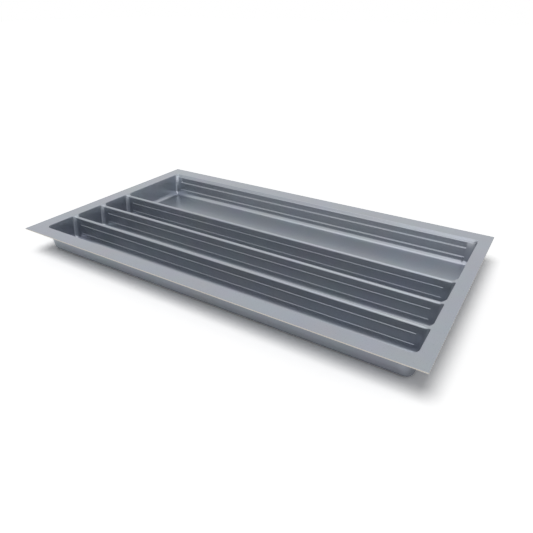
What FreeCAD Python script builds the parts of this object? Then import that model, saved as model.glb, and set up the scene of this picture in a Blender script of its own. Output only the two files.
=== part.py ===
import FreeCAD, Part
import math
import os
from FreeCAD import Vector

# Cutlery tray for a kitchen drawer, thermoformed from one plastic sheet.
# The tray stands on z = 0 with its origin under the middle of its rim. X runs along the
# compartments, Y from front to back, Z up. Three narrow compartments lie at the front and one
# wide compartment at the back. The sheet is modelled as its own regions, which meet face to
# face along its bends: the rim flange, the front and back walls, the folded dividers, the
# floors and the two end walls with the rounded compartment ends.

# Sheet and heights, in millimetres, drops measured down from the top of the rim
sheet = 2.0
tray_height = 55.0
crest_drop = 5.5
upper_ledge_drop = 19.0
lower_ledge_drop = 38.0

# Rim flange, wide on purpose, because each side is trimmed by itself to suit the drawer
flange_left = 30.0
flange_right = 26.0
flange_front = 30.0
flange_back = 35.0

# Compartments, at the level of the divider crests, with one divider behind each narrow row
narrow_rows = ["front", "middle", "rear"]
basin_length = 804.0
narrow_width = 73.0
wide_width = 180.0
crest_width = 7.0
terrace_width = 4.5

# Forms of the walls. Ledges end a gap before the corners, which widen from mouth to floor,
# where they are rounder than the floor's bends by the corner growth
wall_draft = math.radians(4.0)
ledge_width = 2.5
ledge_gap = 2.0
mouth_corner_radius = 8.0
corner_growth = 1.0
rim_radius = 1.5
crest_radius = 3.0
terrace_root_radius = 1.2
ledge_edge_radius = 1.1
ledge_root_radius = 0.8
floor_radius = 10.0

# Above the crests the end walls stand back by the relief, and cutting solids run past the sheet
relief = 0.2
overrun = 10.0
# Points nearer than this are one point
join_distance = 0.002
quarter_turn = 90.0

# Levels and places that follow from the sizes above
rim_z = tray_height
crest_z = rim_z - crest_drop
ledge_levels = [rim_z - upper_ledge_drop, rim_z - lower_ledge_drop]
floor_z = sheet
slope = math.tan(wall_draft)
lean = crest_drop * slope
# The rim's flat begins just outside the walls' outer faces
rim_reach = sheet + relief
# Past the ledges a long wall runs straight to the same foot
wall_depth = crest_z - floor_z
plain_slope = slope + len(ledge_levels) * ledge_width / wall_depth
floor_corner_radius = floor_radius + corner_growth
ledge_end_inset = (rim_z - floor_z) * slope + floor_corner_radius + ledge_gap

tray_length = flange_left + basin_length + flange_right
left_x = flange_left - tray_length / 2
right_x = left_x + basin_length
left_cut_x = left_x + ledge_end_inset
right_cut_x = right_x - ledge_end_inset

compartment_widths = [narrow_width] * len(narrow_rows) + [wide_width]
inner_depth = sum(compartment_widths) + crest_width * len(narrow_rows) + terrace_width
tray_depth = flange_front + lean + inner_depth + lean + flange_back
front_y = flange_front - tray_depth / 2
back_y = tray_depth / 2 - flange_back

compartments = []
next_y = front_y + lean
for width in compartment_widths:
    compartments.append((next_y, next_y + width))
    next_y += width + crest_width
terrace_y = compartments[-1][1] + terrace_width


def path_edges(points, radii):
    """Edges along (y, z) points, with an arc of the given radius at each inner point.

    Two bends on one straight stretch share its length in proportion to their radii.
    """
    corners = [Vector(0, *point) for point in points]
    bends = [0] + list(radii) + [0]
    edges = []
    last = corners[0]
    for i in range(1, len(corners) - 1):
        start = corners[i]
        end = corners[i]
        arc = []
        if bends[i] > 0:
            back = corners[i - 1] - corners[i]
            on = corners[i + 1] - corners[i]
            back_room = back.Length * bends[i] / (bends[i] + bends[i - 1])
            on_room = on.Length * bends[i] / (bends[i] + bends[i + 1])
            back.normalize()
            on.normalize()
            half_angle = back.getAngle(on) / 2
            reach = min(bends[i] / math.tan(half_angle), back_room, on_room)
            radius = reach * math.tan(half_angle)
            start = corners[i] + back * reach
            end = corners[i] + on * reach
            inward = (back + on).normalize()
            middle = corners[i] + inward * (radius / math.sin(half_angle) - radius)
            arc = [Part.Arc(start, middle, end).toShape()]
        if not start.isEqual(last, join_distance):
            edges.append(Part.makeLine(last, start))
        edges += arc
        last = end
    if not corners[-1].isEqual(last, join_distance):
        edges.append(Part.makeLine(last, corners[-1]))
    return edges


def below(points, radii):
    """The underside of a sheet whose upper face follows the points, one sheet lower."""
    starts = []
    runs = []
    for (y0, z0), (y1, z1) in zip(points, points[1:]):
        share = sheet / math.hypot(y1 - y0, z1 - z0)
        starts.append((y0 + (z1 - z0) * share, z0 - (y1 - y0) * share))
        runs.append((y1 - y0, z1 - z0))
    corners = [starts[0]]
    bends = []
    for i, radius in enumerate(radii):
        start, after = starts[i], starts[i + 1]
        run, turned = runs[i], runs[i + 1]
        turn = run[0] * turned[1] - run[1] * turned[0]
        along = ((after[0] - start[0]) * turned[1] - (after[1] - start[1]) * turned[0]) / turn
        corners.append((start[0] + along * run[0], start[1] + along * run[1]))
        bends.append(radius + sheet if turn > 0 else max(radius - sheet, 0))
    corners.append((starts[-1][0] + runs[-1][0], starts[-1][1] + runs[-1][1]))
    return corners, bends


def face_within(edges):
    """The flat face that a closed ring of edges surrounds."""
    return Part.Face(Part.Wire(Part.__sortEdges__(edges)))


def section(points, radii):
    """The cut face of a sheet whose upper face follows the points from front to back."""
    under, bends = below(points, radii)
    ends = [Part.makeLine(Vector(0, *points[i]), Vector(0, *under[i])) for i in (0, -1)]
    return face_within(path_edges(points, radii) + path_edges(under, bends) + ends)


def wall_points(edge_y, edge_z, facing):
    """A stepped wall from its top edge down to the floor, facing front (-1) or back (+1)."""
    points = [(edge_y, edge_z)]
    radii = []
    y, z = edge_y, edge_z
    for ledge_z in ledge_levels:
        y += facing * (z - ledge_z) * slope
        z = ledge_z
        points += [(y, z), (y + facing * ledge_width, z)]
        radii += [ledge_root_radius, ledge_edge_radius]
        y += facing * ledge_width
    y += facing * (z - floor_z) * slope
    points += [(y, floor_z), (y + facing * floor_radius, floor_z)]
    radii += [floor_radius]
    return points, radii


def front_wall_path():
    """From the rim's flat, over its edge and down to the first floor."""
    points, radii = wall_points(front_y, rim_z, +1)
    return [(front_y - rim_reach, rim_z)] + points, [rim_radius] + radii


def divider_path(before, after):
    """Up from one floor, over the crest and down to the next floor."""
    up, up_radii = wall_points(before[1], crest_z, -1)
    down, down_radii = wall_points(after[0], crest_z, +1)
    return up[::-1] + down, up_radii[::-1] + [crest_radius] * 2 + down_radii


def back_wall_path():
    """Up from the wide floor, over the terrace and the rim's edge to its flat."""
    up, up_radii = wall_points(compartments[-1][1], crest_z, -1)
    step = [(terrace_y, crest_z), (back_y, rim_z), (back_y + rim_reach, rim_z)]
    return up[::-1] + step, up_radii[::-1] + [crest_radius, terrace_root_radius, rim_radius]


def along_x(face, x0, x1):
    """A section carried along the tray from x0 to x1."""
    return face.translated(Vector(x0, 0, 0)).extrude(Vector(x1 - x0, 0, 0))


def frame(ends, sides, z, radius):
    """A level rounded rectangle between two ends in x and two sides in y."""
    (x0, x1), (y0, y1) = ends, sides
    upright = Vector(0, 0, 1)
    centres = [(x1 - radius, y0 + radius), (x1 - radius, y1 - radius)]
    centres += [(x0 + radius, y1 - radius), (x0 + radius, y0 + radius)]
    arcs = []
    for index, (x, y) in enumerate(centres):
        turn = (index - 1) * quarter_turn
        arcs.append(Part.makeCircle(radius, Vector(x, y, z), upright, turn, turn + quarter_turn))
    edges = []
    for arc, next_arc in zip(arcs, arcs[1:] + arcs[:1]):
        edges += [arc, Part.makeLine(arc.Vertexes[-1].Point, next_arc.Vertexes[0].Point)]
    return Part.Wire(edges)


def rim_frame(z, grow):
    """The opening inside the rim at a level, drafted from the rim down and grown outward."""
    inset = (rim_z - z) * slope - grow
    ends = (left_x + inset, right_x - inset)
    sides = (front_y + inset, back_y - inset)
    return frame(ends, sides, z, mouth_corner_radius + grow)


def compartment_frame(sides, z, grow):
    """A compartment at a level, with plain walls as they are past the ledges, grown outward."""
    end_inset = (rim_z - z) * slope - grow
    side_inset = (crest_z - z) * plain_slope - grow
    depth_share = (crest_z - z) / wall_depth
    radius = mouth_corner_radius + (floor_corner_radius - mouth_corner_radius) * depth_share
    ends = (left_x + end_inset, right_x - end_inset)
    return frame(ends, (sides[0] + side_inset, sides[1] - side_inset), z, radius + grow)


def edges_on(solid, wire):
    """The solid's edges on a level wire, found within the wire's own bounds."""
    bounds = wire.BoundBox
    bounds.enlarge(join_distance)
    return [edge for edge in solid.Edges if bounds.isInside(edge.BoundBox)]


def wall_face(upper, lower):
    """The face from an edge down to the one below it, flat between lines, ruled between arcs."""
    if isinstance(upper.Curve, Part.Circle):
        return Part.makeRuledSurface(upper, lower)
    start, end = [vertex.Point for vertex in upper.Vertexes]
    foot_start, foot_end = [vertex.Point for vertex in lower.Vertexes]
    return Part.Face(Part.makePolygon([start, end, foot_end, foot_start, start]))


def pocket(mouth, bottom, bottom_radius=0):
    """A pocket with straight walls from its mouth to its bottom, round at the foot if asked."""
    walls = [wall_face(upper, lower) for upper, lower in zip(mouth.Edges, bottom.Edges)]
    shell = Part.makeShell([Part.Face(mouth)] + walls + [Part.Face(bottom)])
    shell.sewShape()
    solid = Part.makeSolid(shell)
    return solid.makeFillet(bottom_radius, edges_on(solid, bottom)) if bottom_radius else solid


def lipped(solid, mouth, lid, lip_radius):
    """The pocket with the room above its lid's frame, and a round lip from one to the other."""
    room = Part.Face(lid).extrude(Vector(0, 0, sheet))
    joined = solid.fuse(room).removeSplitter()
    return joined.makeFillet(lip_radius, edges_on(joined, mouth))


def rim_plate():
    """The rim's flat sheet, before the room for the compartments is cut from it."""
    corner = Vector(-tray_length / 2, -tray_depth / 2, rim_z - sheet)
    return Part.makeBox(tray_length, tray_depth, sheet, corner)


def rim_opening():
    """The room inside the rim's flat, from the floor to above the rim."""
    x0, x1 = left_x - rim_reach, right_x + rim_reach
    y0, y1 = front_y - rim_reach, back_y + rim_reach
    box = Part.makeBox(x1 - x0, y1 - y0, rim_z + overrun, Vector(x0, y0, 0))
    uprights = [edge for edge in box.Edges if edge.BoundBox.ZLength > rim_z]
    return box.makeFillet(mouth_corner_radius + rim_reach, uprights)


def plain_sheet():
    """The whole sheet with plain walls, as it is past the ledges, and its compartments' voids."""
    under_rim = rim_z - sheet / 2
    skins = [pocket(rim_frame(under_rim, sheet), rim_frame(crest_z - sheet, sheet))]
    mouth = rim_frame(rim_z, relief)
    recess = pocket(mouth, rim_frame(crest_z, relief), terrace_root_radius)
    recess = lipped(recess, mouth, rim_frame(rim_z, relief + rim_radius), rim_radius)
    basin = pocket(rim_frame(rim_z, relief), rim_frame(0, relief))
    hollows = []
    for sides in compartments:
        skin_mouth = compartment_frame(sides, crest_z, sheet)
        skin_floor = compartment_frame(sides, floor_z - sheet, sheet)
        skins.append(pocket(skin_mouth, skin_floor, floor_radius + sheet))
        mouth = compartment_frame(sides, crest_z, 0)
        hollow = pocket(mouth, compartment_frame(sides, floor_z, 0), floor_radius)
        lid = compartment_frame(sides, crest_z, crest_radius)
        hollows.append(lipped(hollow, mouth, lid, crest_radius).common(basin))
    return rim_plate().fuse(skins).cut([recess] + hollows), hollows


def under_wall(points, radii):
    """The face under a long wall's upper side, down to the level of the floor."""
    feet = [(y, floor_z) for y in (points[-1][0], points[0][0])]
    inner = [foot for foot in feet if foot not in (points[0], points[-1])]
    corners = [Vector(0, *point) for point in [points[-1]] + inner + [points[0]]]
    outline = [Part.makeLine(a, b) for a, b in zip(corners, corners[1:])]
    return face_within(path_edges(points, radii) + outline)


def end_wall(cut_x, outward):
    """One end of the sheet: end wall, rounded compartment ends and the ends of the ledges."""
    reach = Part.makeBox(basin_length / 2, tray_depth, rim_z + overrun, Vector(0, -tray_depth / 2, 0))
    if outward < 0:
        reach.translate(Vector(-basin_length / 2, 0, 0))
    reach.translate(Vector(cut_x, 0, 0))
    end = whole.common(opening.common(reach))
    caps = []
    for path in wall_paths:
        cap = along_x(under_wall(*path), cut_x, cut_x + outward * sheet)
        caps += [cap.common(hollow) for hollow in hollows]
    return end.fuse([cap for cap in caps if cap.Volume > 0])


def floor_panel(before, after):
    """A flat floor between the feet of the walls before and after it."""
    y0, y1 = before[0][-1][0], after[0][0][0]
    corner = Vector(left_cut_x, y0, floor_z - sheet)
    return Part.makeBox(right_cut_x - left_cut_x, y1 - y0, sheet, corner)


parts = {}

# Long walls and dividers: one section each, carried along the tray
wall_names = ["front_wall"] + ["divider_" + row for row in narrow_rows] + ["back_wall"]
wall_paths = [front_wall_path()]
wall_paths += [divider_path(a, b) for a, b in zip(compartments, compartments[1:])]
wall_paths += [back_wall_path()]
for name, path in zip(wall_names, wall_paths):
    parts[name] = along_x(section(*path), left_cut_x, right_cut_x)

# Floors between the feet of the long walls
floor_names = ["narrow_floor_" + row for row in narrow_rows] + ["wide_floor"]
for name, before, after in zip(floor_names, wall_paths, wall_paths[1:]):
    parts[name] = floor_panel(before, after)

# Rim flange and the two ends
whole, hollows = plain_sheet()
opening = rim_opening()
parts["rim_flange"] = rim_plate().cut(opening)
parts["end_wall_left"] = end_wall(left_cut_x, -1)
parts["end_wall_right"] = end_wall(right_cut_x, +1)

os.makedirs("parts", exist_ok=True)
for name, shape in parts.items():
    shape.exportStep("parts/" + name + ".step")
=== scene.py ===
import math

import bpy
import numpy as np
from mathutils import Matrix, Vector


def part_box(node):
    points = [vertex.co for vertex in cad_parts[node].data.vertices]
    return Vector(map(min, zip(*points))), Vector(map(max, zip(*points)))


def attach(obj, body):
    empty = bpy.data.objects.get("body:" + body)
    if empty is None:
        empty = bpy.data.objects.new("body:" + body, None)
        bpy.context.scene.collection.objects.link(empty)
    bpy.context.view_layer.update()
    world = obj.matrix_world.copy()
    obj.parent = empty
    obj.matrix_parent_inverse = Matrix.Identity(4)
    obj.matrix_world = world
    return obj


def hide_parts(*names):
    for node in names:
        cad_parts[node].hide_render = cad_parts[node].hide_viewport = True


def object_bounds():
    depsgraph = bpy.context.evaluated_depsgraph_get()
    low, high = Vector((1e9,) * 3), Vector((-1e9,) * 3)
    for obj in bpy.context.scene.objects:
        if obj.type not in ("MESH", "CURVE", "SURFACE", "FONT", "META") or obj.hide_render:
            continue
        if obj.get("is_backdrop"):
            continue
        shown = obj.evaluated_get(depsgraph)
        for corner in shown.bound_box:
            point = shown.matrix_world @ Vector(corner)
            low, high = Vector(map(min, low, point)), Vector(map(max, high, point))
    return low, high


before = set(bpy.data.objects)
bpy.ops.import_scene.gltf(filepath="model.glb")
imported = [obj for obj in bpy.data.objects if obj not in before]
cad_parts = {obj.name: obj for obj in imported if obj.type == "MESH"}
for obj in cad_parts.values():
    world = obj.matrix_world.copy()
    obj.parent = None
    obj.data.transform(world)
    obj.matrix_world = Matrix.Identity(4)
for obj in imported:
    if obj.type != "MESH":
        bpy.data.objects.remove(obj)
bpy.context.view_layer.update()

# Front wall. The tray is one sheet of silver-grey polystyrene, heated and drawn down over a mould.
# This wall leans outward so that the tray lets go of the mould, and two ledges stiffen it.
# All sizes are millimetres, and an inset is measured inward from a wall's line at the divider crests.
mm_per_metre = 1000


def node_box(node):
    """A CAD node's lowest and highest corners, in millimetres."""
    low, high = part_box(node)
    return np.array(low, float) * mm_per_metre, np.array(high, float) * mm_per_metre


front_low, front_high = node_box("front_wall")
rim_low, rim_high = node_box("rim_flange")
cut_left, cut_right = front_low[0], front_high[0]
rim_z = rim_high[2]
crest_z = node_box("divider_front")[1][2]
crest_drop = rim_z - crest_z
sheet = node_box("wide_floor")[1][2]
floor_z = sheet
upper_ledge_z = 36.0
lower_ledge_z = 17.0
wall_draft_degrees = 4.0
slope = math.tan(math.radians(wall_draft_degrees))
lean = crest_drop * slope
rim_lip_radius = 1.5
floor_radius = 10.0
least_radius = 0.2
end_foot = (crest_z - floor_z) * slope

# A ledge's two bends take these shares of its width. A plain wall's points are laid as for the least ledge
ledge_root_share = 0.3
ledge_edge_share = 0.37
least_ledge = 0.5

# A lip's flat margin reaches this many radii outside the wall, and each bend has this many steps
lip_reach_share = 1.1
lip_steps = 8
ledge_steps = 4
floor_steps = 10


def rounded(corners, radii, steps):
    """Runs straight from corner to corner and turns each inner corner on an arc.

    An arc starts one reach before its corner and ends one reach after it, where the reach is the
    radius divided by the tangent of half the angle between the legs. Two arcs on one leg share
    it in proportion to their radii. Works on whole stacks of sections at once.
    """
    legs = np.diff(corners, axis=-2)
    lengths = np.linalg.norm(legs, axis=-1)
    units = legs / lengths[..., None]
    bends = [0.0, *radii, 0.0]
    points = [corners[..., :1, :]]
    for i, count in enumerate(steps):
        corner, back, on = corners[..., i + 1, :], -units[..., i, :], units[..., i + 1, :]
        half = np.arccos(np.clip((back * on).sum(-1), -1, 1)) / 2
        radius = bends[i + 1]
        reach = np.minimum(radius / np.tan(half), lengths[..., i] * radius / (radius + bends[i]))
        reach = np.minimum(reach, lengths[..., i + 1] * radius / (radius + bends[i + 2]))[..., None]
        start, end = corner + back * reach, corner + on * reach
        middle = back + on
        middle /= np.linalg.norm(middle, axis=-1, keepdims=True)
        centre = corner + middle * reach / np.cos(half)[..., None]
        turn = (math.pi - 2 * half)[..., None, None]
        share = np.linspace(0, 1, count + 1)[:, None]
        arc = np.sin((1 - share) * turn) * (start - centre)[..., None, :]
        arc = arc + np.sin(share * turn) * (end - centre)[..., None, :]
        points.append(centre[..., None, :] + arc / np.sin(turn))
    points.append(corners[..., -1:, :])
    return np.concatenate(points, axis=-2)


def underside(corners):
    """Moves each leg by the sheet's thickness to its lower side and joins the moved legs again.

    At a corner the move is the thickness times the sum of both normals, divided by one plus
    their product, which is where the two moved legs cross.
    """
    legs = np.diff(corners, axis=-2)
    units = legs / np.linalg.norm(legs, axis=-1, keepdims=True)
    normals = np.stack([units[..., 1], -units[..., 0]], -1)
    before = np.concatenate([normals[..., :1, :], normals], axis=-2)
    after = np.concatenate([normals, normals[..., -1:, :]], axis=-2)
    product = (before * after).sum(-1, keepdims=True)
    return corners + sheet * (before + after) / (1 + product)


def section(mouth_z, tilt, ledge_share, lip, foot, under):
    """A wall's section as (inset, height) points, from its lip's margin down to the floor.

    The lip's margin rises outward by the tilt. The plain wall is straight from lip to foot. The
    stepped one has the same bends and two ledges, each half as wide as the foot stands further
    in than a plain wall's. Each ring position takes the mix of both that its ledge share says.
    """
    mouth = (crest_z - mouth_z) * slope
    reach = lip * lip_reach_share
    ledge = np.maximum((foot - end_foot) / 2, least_ledge)

    def at(inset, height):
        """One corner of the section at every ring position."""
        return np.stack(np.broadcast_arrays(inset, height, mouth_z)[:2], -1)

    start = [at(mouth - reach, mouth_z + reach * tilt), at(mouth, mouth_z)]
    ledges = []
    for number, height in enumerate((upper_ledge_z, lower_ledge_z)):
        inner = (crest_z - height) * slope + number * ledge
        ledges += [at(inner, height), at(inner + ledge, height)]
    last = end_foot + 2 * ledge
    stepped = np.stack(start + ledges + [at(last, floor_z), at(last + floor_radius, floor_z)], -2)
    plain = np.stack(start + [at(foot, floor_z), at(foot + floor_radius, floor_z)], -2)

    root, edge, floor = ledge_root_share * ledge, ledge_edge_share * ledge, floor_radius
    if under:
        stepped, plain = underside(stepped), underside(plain)
        lip, edge = np.maximum(lip - sheet, least_radius), least_radius
        root, floor = root + sheet, floor + sheet
    radii = [lip, root, edge, root, edge, floor]
    stepped = rounded(stepped, radii, [lip_steps] + [ledge_steps] * 4 + [floor_steps])
    plain = rounded(plain, [lip, floor], [lip_steps, floor_steps])

    # The plain wall gets a point for each ledge point, at the same share of the way down
    first, last = lip_steps + 1, stepped.shape[-2] - floor_steps - 2
    run = np.linalg.norm(np.diff(stepped[..., first:last + 1, :], axis=-2), axis=-1).cumsum(-1)
    share = (run / run[..., -1:])[..., :-1, None]
    top, bottom = plain[..., first:first + 1, :], plain[..., first + 1:first + 2, :]
    plain = np.concatenate(
        [plain[..., :first + 1, :], top + (bottom - top) * share, plain[..., first + 1:, :]], axis=-2)
    return plain + (stepped - plain) * np.asarray(ledge_share, float)[..., None, None]


# Corner radius in plan, at the mouth and at the floor
mouth_corner_radius = 8.0
floor_corner_radius = 11.0


def wall(start, inward, outward, mouth_z, tilt, ledge_share, lip, foot, corner):
    """Upper and lower points of a wall, one section at each position of a compartment's ring.

    A corner's centre lies inset plus corner radius inside the walls, and stays where it is along
    the lip and along the floor bend. A point is its start, plus inward times the centre's inset,
    plus outward times what is left between centre and point. On straight sides both cancel out.
    """
    sides = []
    lowest = (crest_z - mouth_z) * slope + corner
    floor_corner = np.maximum(corner, floor_corner_radius)
    for under in (False, True):
        points = section(mouth_z, tilt, ledge_share, lip, foot, under)
        inset, height = points[..., 0], points[..., 1]
        depth_share = np.clip((crest_z - height) / (crest_z - floor_z), 0, 1)
        centre = inset + under * sheet + corner[:, None]
        centre = centre + depth_share * (floor_corner - corner)[:, None]
        if not under:
            highest = centre[:, -floor_steps - 2]
        centre = np.clip(centre, lowest[:, None], highest[:, None])[..., None]
        plan = start[:, None, :] + centre * inward[:, None, :]
        plan = plan + (centre - inset[..., None]) * outward[:, None, :]
        sides.append(np.concatenate([plan, points[..., 1:]], -1))
    return sides


# Points nearer than a micrometre are one, and shading breaks where faces turn by more than this angle
point_digits = 3
sharp_degrees = 35


def merge(points):
    """Keeps points that round to the same place once, and says where each of them went."""
    _, kept, place = np.unique(
        np.round(points, point_digits), axis=0, return_index=True, return_inverse=True)
    return points[kept], place.reshape(-1)


def whole(squares):
    """Which squares have three points or more that differ from the point before."""
    return (squares != np.roll(squares, 1, axis=1)).sum(1) > 2


def shell(name, node, grids, cut_material=None):
    """One closed piece of the sheet from grids of upper and lower points.

    Grids that meet share their points. Each grid's squares are turned to face up, the lower
    side is the same net turned over, and a square closes each open edge. Squares that have
    shrunk to a line are left out. With a cut material, the closing squares show it.
    """
    points, squares, count = [], [], 0
    for upper, lower in grids:
        rows, columns = upper.shape[:2]
        index = np.arange(count, count + rows * columns).reshape(rows, columns)
        count += rows * columns
        net = np.stack([index[:-1, :-1], index[1:, :-1], index[1:, 1:], index[:-1, 1:]], -1)
        across = np.cross(upper[1:, 1:] - upper[:-1, :-1], upper[:-1, 1:] - upper[1:, :-1])
        net = net if across[..., 2].sum() > 0 else net[..., ::-1]
        squares.append(net.reshape(-1, 4))
        points.append(np.concatenate([upper, lower], -1).reshape(-1, 6))
    points, merged = merge(np.concatenate(points))
    squares = merged[np.concatenate(squares)]
    squares = squares[whole(squares)]
    edges = np.concatenate([squares[:, [i, (i + 1) % 4]] for i in range(4)])
    edges = edges[edges[:, 0] != edges[:, 1]]
    _, first, uses = np.unique(np.sort(edges, 1), axis=0, return_index=True, return_counts=True)
    open_edges = edges[first[uses == 1]]
    below = len(points)
    closing = np.concatenate([open_edges[:, ::-1], open_edges + below], 1)
    places, merged = merge(np.concatenate([points[:, :3], points[:, 3:]]))
    faces = merged[np.concatenate([squares, squares[:, ::-1] + below, closing])]
    is_cut = np.arange(len(faces)) >= 2 * len(squares)
    faces, is_cut = faces[whole(faces)], is_cut[whole(faces)]
    faces = [list(dict.fromkeys(face)) for face in faces.tolist()]

    mesh = bpy.data.meshes.new(name)
    mesh.from_pydata((places / mm_per_metre).tolist(), [], faces)
    mesh.shade_smooth()
    mesh.set_sharp_from_angle(angle=math.radians(sharp_degrees))
    piece = bpy.data.objects.new(name, mesh)
    bpy.context.scene.collection.objects.link(piece)
    mesh.materials.append(silver_styrene)
    if cut_material:
        mesh.materials.append(cut_material)
        mesh.polygons.foreach_set("material_index", is_cut.astype(np.int32))
    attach(piece, "root")
    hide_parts(node)


def linear(colour):
    """An sRGB hex colour as linear red, green, blue and alpha, by that standard's two-part curve."""
    parts = np.array([int(colour[i:i + 2], 16) for i in (1, 3, 5)]) / 255
    parts = np.where(parts <= 0.04045, parts / 12.92, ((parts + 0.055) / 1.055) ** 2.4)
    return (*parts.tolist(), 1.0)


def add(tree, kind, settings=(), values=(), links=()):
    """Adds a node, sets its settings and socket values, and links sockets to other nodes' outputs."""
    node = tree.nodes.new(kind)
    for key, value in dict(settings).items():
        setattr(node, key, value)
    for key, value in dict(values).items():
        node.inputs[key].default_value = value
    for key, output in dict(links).items():
        tree.links.new(output, node.inputs[key])
    return node


def new_material(name):
    """An empty node material and its tree."""
    material = bpy.data.materials.new(name)
    material.use_nodes = True
    material.node_tree.nodes.clear()
    return material, material.node_tree


# Polystyrene sheet with silver pigment, embossed with a fine leather-like grain by its last roller.
# The pigment gives horizontal faces a soft metallic sheen and leaves steep walls dark.
# The real grain is about 0.5 mm wide, and is drawn at 1.5 mm here so that it shows.
grain_mm = 1.5
cloud_mm = 60.0
cloud_share = 0.12
silver_styrene, tree = new_material("silver_styrene")
place = add(tree, "ShaderNodeTexCoord").outputs["Object"]
grain = add(tree, "ShaderNodeTexNoise", links={"Vector": place}, values={
    "Scale": mm_per_metre / grain_mm, "Detail": 2.0, "Roughness": 0.6})
cloud = add(tree, "ShaderNodeTexNoise", links={"Vector": place}, values={
    "Scale": mm_per_metre / cloud_mm, "Detail": 3.0})
flake = add(tree, "ShaderNodeMixRGB", values={"Color1": linear("#a0a5ad"), "Color2": linear("#abb0b8")},
            links={"Fac": grain.outputs["Fac"]})
tone = add(tree, "ShaderNodeMixRGB", {"blend_type": "MULTIPLY"},
           {"Fac": cloud_share}, {"Color1": flake.outputs["Color"], "Color2": cloud.outputs["Color"]})
sheen = add(tree, "ShaderNodeMapRange", values={"To Min": 0.26, "To Max": 0.31},
            links={"Value": grain.outputs["Fac"]})
bump = add(tree, "ShaderNodeBump", values={"Strength": 0.06, "Distance": 0.0002},
           links={"Height": grain.outputs["Fac"]})
plastic = add(tree, "ShaderNodeBsdfPrincipled", values={"Metallic": 0.9, "IOR": 1.55}, links={
    "Base Color": tone.outputs["Color"], "Roughness": sheen.outputs["Result"],
    "Normal": bump.outputs["Normal"]})
add(tree, "ShaderNodeOutputMaterial", links={"Surface": plastic.outputs["BSDF"]})

# Behind a short plain stub at each end of the long walls the ledges fade in, by the share of the
# fade's length: three squares less two cubes of it
stub = 0.2
fade = 5.0
fade_steps = 8
middle_steps = 12
fade_in = np.linspace(0, 1, fade_steps + 1)
long_x = np.concatenate([
    [cut_left], cut_left + stub + fade * fade_in,
    np.linspace(cut_left + stub + fade, cut_right - stub - fade, middle_steps + 1)[1:-1],
    cut_right - stub - fade * fade_in[::-1], [cut_right]])
from_end = np.clip((np.minimum(long_x - cut_left, cut_right - long_x) - stub) / fade, 0, 1)
long_share = from_end ** 2 * (3 - 2 * from_end)


def long_side(line_y, facing, mouth_z, lip, ledge):
    """A compartment's straight side between the two end walls, facing front (-1) or back (+1)."""
    flat = np.ones_like(long_x)
    start = np.stack([long_x, line_y * flat], -1)
    inward = np.stack([0 * flat, facing * flat], -1)
    foot = end_foot + 2 * ledge
    return wall(start, inward, -inward, mouth_z * flat, 0 * flat, long_share, lip * flat, foot * flat,
                mouth_corner_radius * flat)


flange_front = 30.0
first_y = rim_low[1] + flange_front + lean
ledge_width = 1.1
front_side = long_side(first_y, +1, rim_z, rim_lip_radius, ledge_width)
shell("formed_front_wall", "front_wall", [front_side])

# Dividers. Each is the sheet folded up and over, hollow underneath, between two compartments.
# Its crest is a narrow round ridge below the rim, which catches the light along its whole length.
# It stands a little above the solids' crests, where the photograph has it.
crest_width = 7.0
crest_lip_radius = 3.0
crest_lift = 1.8
ridge_z = crest_z + crest_lift
crest_steps = 4


def ruled(start, end, steps):
    """Upper and lower points of a surface of straight lines from one edge to another."""
    share = np.linspace(0, 1, steps + 1)[:, None]
    return [a[:, None, :] + (b - a)[:, None, :] * share for a, b in zip(start, end)]


def edge_of(side, column):
    """One edge of a grid of upper and lower points: its lip (0) or its foot on the floor (-1)."""
    return [points[:, column] for points in side]


divider_nodes = ["divider_front", "divider_middle", "divider_rear"]
compartments = []
start_y = first_y
sides = [front_side]
for node in divider_nodes:
    low, high = node_box(node)
    crest_y = (low[1] + high[1]) / 2
    before_y, after_y = crest_y - crest_width / 2, crest_y + crest_width / 2
    compartments.append((start_y, before_y))
    start_y = after_y
    before = long_side(before_y, -1, ridge_z, crest_lip_radius, ledge_width)
    after = long_side(after_y, +1, ridge_z, crest_lip_radius, ledge_width)
    crest = ruled(edge_of(before, 0), edge_of(after, 0), crest_steps)
    shell("formed_" + node, node, [before, crest, after])
    sides += [before, after]

# Back wall. Behind the wide compartment the same sheet is drawn over a narrow terrace at the height
# of the solids' crests, and up a low step to the rim. Its ledges are the widest.
terrace_width = 4.5
terrace_root_radius = 1.2
back_lip_radius = 2.0
back_ledge_width = 3.0
step_lean = 2.0
terrace_root_steps = 5
flange_back = 35.0
back_y = rim_high[1] - flange_back
terrace_y = back_y - step_lean
wide_end_y = back_y - lean - terrace_width
compartments.append((start_y, wide_end_y))
back_reach, rim_reach = back_lip_radius * lip_reach_share, rim_lip_radius * lip_reach_share
step_corners = np.array([
    [wide_end_y + back_reach, crest_z], [terrace_y, crest_z], [back_y, rim_z], [back_y + rim_reach, rim_z]])
step_steps = [terrace_root_steps, lip_steps]
step_upper = rounded(step_corners, [terrace_root_radius, rim_lip_radius], step_steps)[1:]
step_lower = rounded(
    underside(step_corners), [terrace_root_radius + sheet, least_radius], step_steps)[1:]


def terrace(lips, height_share):
    """The terrace and step behind a line of lip points, from the lip to the flat of the rim.

    The step's height below the rim is multiplied by the height share at each position, so that
    the terrace rises to the rim where the share falls to nothing.
    """
    grids = []
    for lip, profile, top in zip(lips, (step_upper, step_lower), (rim_z, rim_z - sheet)):
        x, y = np.broadcast_arrays(lip[:, :1], profile[:, 0])
        z = top - height_share[:, None] * (top - profile[:, 1])
        grids.append(np.concatenate([lip[:, None, :], np.stack([x, y, z], -1)], 1))
    return grids


back_side = long_side(wide_end_y, -1, crest_z, back_lip_radius, back_ledge_width)
sides.append(back_side)
back_terrace = terrace(edge_of(back_side, 0), np.ones_like(long_x))
shell("formed_back_wall", "back_wall", [back_side, back_terrace])

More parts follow.
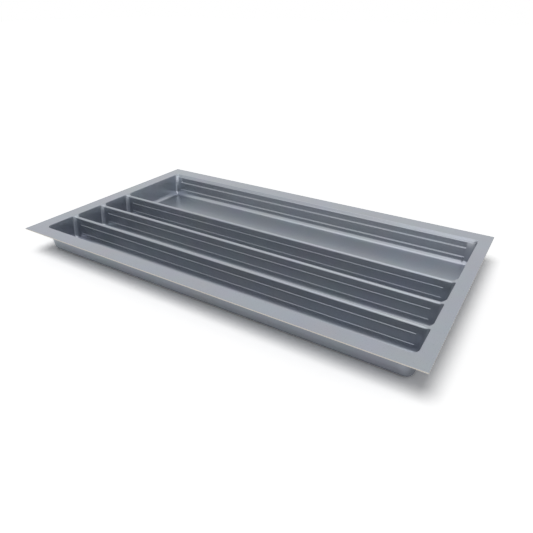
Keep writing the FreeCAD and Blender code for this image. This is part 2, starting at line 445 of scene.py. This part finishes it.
# Floors. Flat bottoms of the three narrow compartments and of the wide one, which the tray stands on.
# They are the same sheet at one thickness, drawn flat over the mould.
floor_nodes = ["narrow_floor_front", "narrow_floor_middle", "narrow_floor_rear", "wide_floor"]

# Steps across each compartment, from its front side to its rear side
end_steps = [6, 6, 6, 12]
for number, (node, steps) in enumerate(zip(floor_nodes, end_steps)):
    before, after = sides[2 * number], sides[2 * number + 1]
    shell("formed_" + node, node, [ruled(edge_of(before, -1), edge_of(after, -1), steps)])

# End walls. Each closes all compartments at one end in round corners, without ledges.
# In the corners each crest flares and climbs to the rim, as a drawn sheet does.
corner_steps = 10
corner_turn = np.linspace(0, math.pi / 2, corner_steps + 1)
flange_left = 30.0
flange_right = 24.6
left_x = rim_low[0] + flange_left
right_x = rim_high[0] - flange_right
outer_corner_radius = 13.0
halfway = 0.5


def end_ring(y0, y1, cut_x, end_x, steps, is_first, is_last):
    """A compartment's end from the cut on its front side round to the cut on its rear side.

    Outward turns from the side's direction to the end's with the corner angle. Towards the end,
    given by the angle's sine, the lip sharpens and the foot draws back to the end's. The lip
    also climbs to the rim, by three squares less two cubes of the sine, level at both ends.
    """
    side = math.copysign(1, end_x)
    sine, cosine = np.sin(corner_turn), np.cos(corner_turn)
    along = np.linspace(0, 1, steps + 1)[1:-1]
    towards = np.concatenate([[0, 0], sine, np.ones_like(along), sine[::-1], [0, 0]])
    across = np.concatenate([[-1, -1], -cosine, np.zeros_like(along), cosine[::-1], [1, 1]])
    from_cut = np.concatenate([[0, halfway], np.ones(2 * len(sine) + len(along)), [halfway, 0]])
    to_rear = np.concatenate([np.zeros(2 + len(sine)), along, np.ones(2 + len(sine))])
    start = np.stack([cut_x + from_cut * (end_x - cut_x), y0 + to_rear * (y1 - y0)], -1)
    inward = np.stack([-side * from_cut, 1 - 2 * to_rear], -1)
    outward = np.stack([side * towards, across], -1)

    rear_lip = back_lip_radius if is_last else crest_lip_radius
    rear_ledge = back_ledge_width if is_last else ledge_width
    front_corner = outer_corner_radius if is_first else mouth_corner_radius
    rear_z = crest_z if is_last else ridge_z
    side_lip = crest_lip_radius + (rear_lip - crest_lip_radius) * to_rear
    rise = rim_z - ridge_z - (rear_z - ridge_z) * to_rear
    corner = front_corner + (mouth_corner_radius - front_corner) * to_rear
    lip = side_lip + (rim_lip_radius - side_lip) * towards
    reach = lip * lip_reach_share
    tilt = 6 * rise * towards ** 2 * (1 - towards) / (corner + reach)
    mouth_z = rim_z - rise * (1 - towards ** 2 * (3 - 2 * towards)) - reach * tilt
    if is_first:
        front = to_rear == 0
        lip = np.where(front, rim_lip_radius, lip)
        mouth_z, tilt = np.where(front, rim_z, mouth_z), np.where(front, 0, tilt)
    foot = end_foot + 2 * (ledge_width + (rear_ledge - ledge_width) * to_rear) * across ** 2
    return wall(start, inward, outward, mouth_z, tilt, np.zeros_like(tilt), lip, foot, corner)


end_parts = 2 + len(corner_turn)
rim_edges = {}
for name, cut_x, end_x in (("left", cut_left, left_x + lean), ("right", cut_right, right_x - lean)):
    grids = []
    rings = [end_ring(y0, y1, cut_x, end_x, steps, number == 0, number == len(compartments) - 1)
             for number, ((y0, y1), steps) in enumerate(zip(compartments, end_steps))]
    for ring, steps in zip(rings, end_steps):
        foot = edge_of(ring, -1)
        front_foot = [points[:end_parts] for points in foot]
        rear_foot = [points[:-end_parts - 1:-1] for points in foot]
        grids += [ring, ruled(front_foot, rear_foot, steps)]
    flares = []
    for ring, next_ring in zip(rings, rings[1:]):
        rear_lip = [points[:-end_parts - 1:-1] for points in edge_of(ring, 0)]
        front_lip = [points[:end_parts] for points in edge_of(next_ring, 0)]
        flares.append(ruled(rear_lip, front_lip, crest_steps))
    last_lip = [points[:-end_parts - 1:-1] for points in edge_of(rings[-1], 0)]
    share = (rim_z - last_lip[0][:, 2]) / crest_drop
    end_terrace = terrace(last_lip, share)
    shell("formed_end_wall_" + name, "end_wall_" + name, grids + flares + [end_terrace])

    # The edges that meet the rim: round the front corner, along the end, and behind the terrace
    end_edge = [[points[end_parts - 1:-end_parts + 1] for points in edge_of(rings[0], 0)]]
    for flare, ring in zip(flares, rings[1:]):
        end_edge.append([points[-1, 1:] for points in flare])
        end_edge.append([points[end_parts:-end_parts + 1] for points in edge_of(ring, 0)])
    end_edge.append([points[-1, 1:] for points in end_terrace])
    rim_edges[name] = (
        [points[:end_parts] for points in edge_of(rings[0], 0)],
        [np.concatenate([part[i] for part in end_edge]) for i in (0, 1)],
        [points[:, -1] for points in end_terrace])

# Rim flange. The flat of the sheet round the compartments, sawn free of the margin that the clamp held.
# Each side can be trimmed further to suit the drawer, so its edge is a bare cut.
edge_break = 0.15
flange_steps = 4

# The cut shows the sheet's cream-white core under its silver face, dull from the saw
sheet_core, tree = new_material("sawn_styrene_core")
core = add(tree, "ShaderNodeBsdfPrincipled", values={
    "Base Color": linear("#eee7dc"), "Roughness": 0.7, "IOR": 1.55})
add(tree, "ShaderNodeOutputMaterial", links={"Surface": core.outputs["BSDF"]})


def flange(inner, axis, edge):
    """Upper and lower points from the opening's edge straight out along an axis to the cut edge.

    The cut edge's corners are broken: the last step goes out and in from the flat together.
    """
    grids = []
    step = math.copysign(edge_break, edge)
    for points, flat_z, cut_z in zip(
            inner, (rim_z, rim_z - sheet), (rim_z - edge_break, rim_z - sheet + edge_break)):
        near, far = points.copy(), points.copy()
        near[:, axis], near[:, 2] = edge - step, flat_z
        far[:, axis], far[:, 2] = edge, cut_z
        share = np.linspace(0, 1, flange_steps + 1)[:, None]
        flat = points[:, None, :] + (near - points)[:, None, :] * share
        grids.append(np.concatenate([flat, far[:, None, :]], 1))
    return grids


def flange_corner(along_x, along_y):
    """The square corner between the last rows of two strips.

    A point has one row's x and the other's y. Its height is the lower of both on the upper side
    and the higher of both on the lower side, so that the broken edges carry on round the corner.
    """
    grids = []
    for row, column, pick in zip(along_x, along_y, (np.minimum, np.maximum)):
        x, y = np.meshgrid(row[:, 0], column[:, 1], indexing="ij")
        grids.append(np.stack([x, y, pick.outer(row[:, 2], column[:, 2])], -1))
    return grids


grids = [flange(edge_of(front_side, 0), 1, rim_low[1]),
         flange([points[:, -1] for points in back_terrace], 1, rim_high[1])]
for name, edge_x in (("left", rim_low[0]), ("right", rim_high[0])):
    front_edge, end_edge, back_edge = rim_edges[name]
    front_strip = flange(front_edge, 1, rim_low[1])
    end_strip = flange(end_edge, 0, edge_x)
    back_strip = flange(back_edge, 1, rim_high[1])
    grids += [front_strip, end_strip, back_strip]
    for row, strip in ((0, front_strip), (-1, back_strip)):
        end_row = [points[row] for points in end_strip]
        grids.append(flange_corner(end_row, [points[-1] for points in strip]))
shell("formed_rim_flange", "rim_flange", grids, sheet_core)

# Pale floor, a matt sheet that the tray stands on. It is white to the camera and in reflections,
# apart from the tray's shadow, and grey to all other light.
floor_half_metres = 12.0
floor_grey = 0.8
floor_white = 1.5
mesh = bpy.data.meshes.new("studio_floor")
corners = floor_half_metres * np.array([[-1, -1, 0], [1, -1, 0], [1, 1, 0], [-1, 1, 0]], float)
mesh.from_pydata(corners.tolist(), [], [[0, 1, 2, 3]])
studio_floor = bpy.data.objects.new("studio_floor", mesh)
bpy.context.scene.collection.objects.link(studio_floor)


def seen(tree):
    """One where the camera looks, straight or in a reflection, and nothing for light on its way."""
    path = add(tree, "ShaderNodeLightPath").outputs
    level = path["Is Camera Ray"]
    for kind in ("Is Glossy Ray", "Is Transmission Ray"):
        either = add(tree, "ShaderNodeMath", {"operation": "MAXIMUM"}, links={0: level, 1: path[kind]})
        level = either.outputs["Value"]
    straight = add(tree, "ShaderNodeMath", {"operation": "LESS_THAN"}, {1: 1.0}, {0: path["Diffuse Depth"]})
    both = add(tree, "ShaderNodeMath", {"operation": "MULTIPLY"},
               links={0: level, 1: straight.outputs["Value"]})
    return both.outputs["Value"]


white_floor, tree = new_material("white_floor")
shade = add(tree, "ShaderNodeMixRGB", links={"Fac": seen(tree)}, values={
    "Color1": (*[floor_grey] * 3, 1), "Color2": (*[floor_white] * 3, 1)})
matt = add(tree, "ShaderNodeBsdfDiffuse", links={"Color": shade.outputs["Color"]})
add(tree, "ShaderNodeOutputMaterial", links={"Surface": matt.outputs["BSDF"]})
mesh.materials.append(white_floor)
studio_floor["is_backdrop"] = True

# Soft studio light: a dim white room, a wide light overhead and a wide low one from the camera's side.
# The floor has a light of its own, so that the tray's shadow is as dark and tight as in the photograph.
# The room is seen at full white, so that the flange's colour renders about as it is written.
room_share = 0.28
world = bpy.data.worlds.new("white_room")
bpy.context.scene.world = world
world.use_nodes = True
tree = world.node_tree
tree.nodes.clear()
strength = add(tree, "ShaderNodeMapRange", values={"To Min": room_share, "To Max": 1.0},
               links={"Value": seen(tree)})
room = add(tree, "ShaderNodeBackground", values={"Color": (1, 1, 1, 1)},
           links={"Strength": strength.outputs["Result"]})
add(tree, "ShaderNodeOutputWorld", links={"Surface": room.outputs["Background"]})

# A lamp's level, its width, tilt and heading in degrees, and whether it lights all but the floor or only it
lamps = [
    ("overhead", 0.18, 60, 0, 0, "EXCLUDE"),
    ("window", 0.32, 90, 72, 32, "EXCLUDE"),
    ("floor_light", 0.45, 40, 16, -25, "INCLUDE"),
]
for name, level, spread, tilt, heading, floor_link in lamps:
    light = bpy.data.lights.new(name, "SUN")
    light.energy = math.pi * level
    light.angle = math.radians(spread)
    lamp = bpy.data.objects.new(name, light)
    lamp.rotation_euler = (math.radians(tilt), 0.0, math.radians(heading))
    bpy.context.scene.collection.objects.link(lamp)
    receivers = bpy.data.collections.new(name + "_receivers")
    receivers.objects.link(studio_floor)
    receivers.collection_objects[0].light_linking.link_state = floor_link
    lamp.light_linking.receiver_collection = receivers

# Camera at the photograph's place: a plain lens, turned, tipped and rolled so that the rim's edges
# and the crests fall where the photograph has them.
image_px = 533
focal_px = 479.49
sensor_mm = 36.0
camera_place_metres = (0.50312, -0.76864, 0.48232)
pitch, yaw, roll = np.radians([28.992, 31.831, 0.178])
camera_data = bpy.data.cameras.new("camera")
camera_data.sensor_width = sensor_mm
camera_data.lens = sensor_mm * focal_px / image_px
camera = bpy.data.objects.new("camera", camera_data)
right = np.array([math.cos(yaw), math.sin(yaw), 0])
ahead = np.array([-math.sin(yaw) * math.cos(pitch), math.cos(yaw) * math.cos(pitch), -math.sin(pitch)])
upward = np.cross(right, ahead)
turned_right = math.cos(roll) * right + math.sin(roll) * upward
turned_up = math.cos(roll) * upward - math.sin(roll) * right
place = np.eye(4)
place[:3] = np.stack([turned_right, turned_up, -ahead, camera_place_metres], 1)
camera.matrix_world = Matrix(place.tolist())
bpy.context.scene.collection.objects.link(camera)
bpy.context.scene.camera = camera
bpy.context.scene.view_settings.view_transform = "Standard"

low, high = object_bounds()
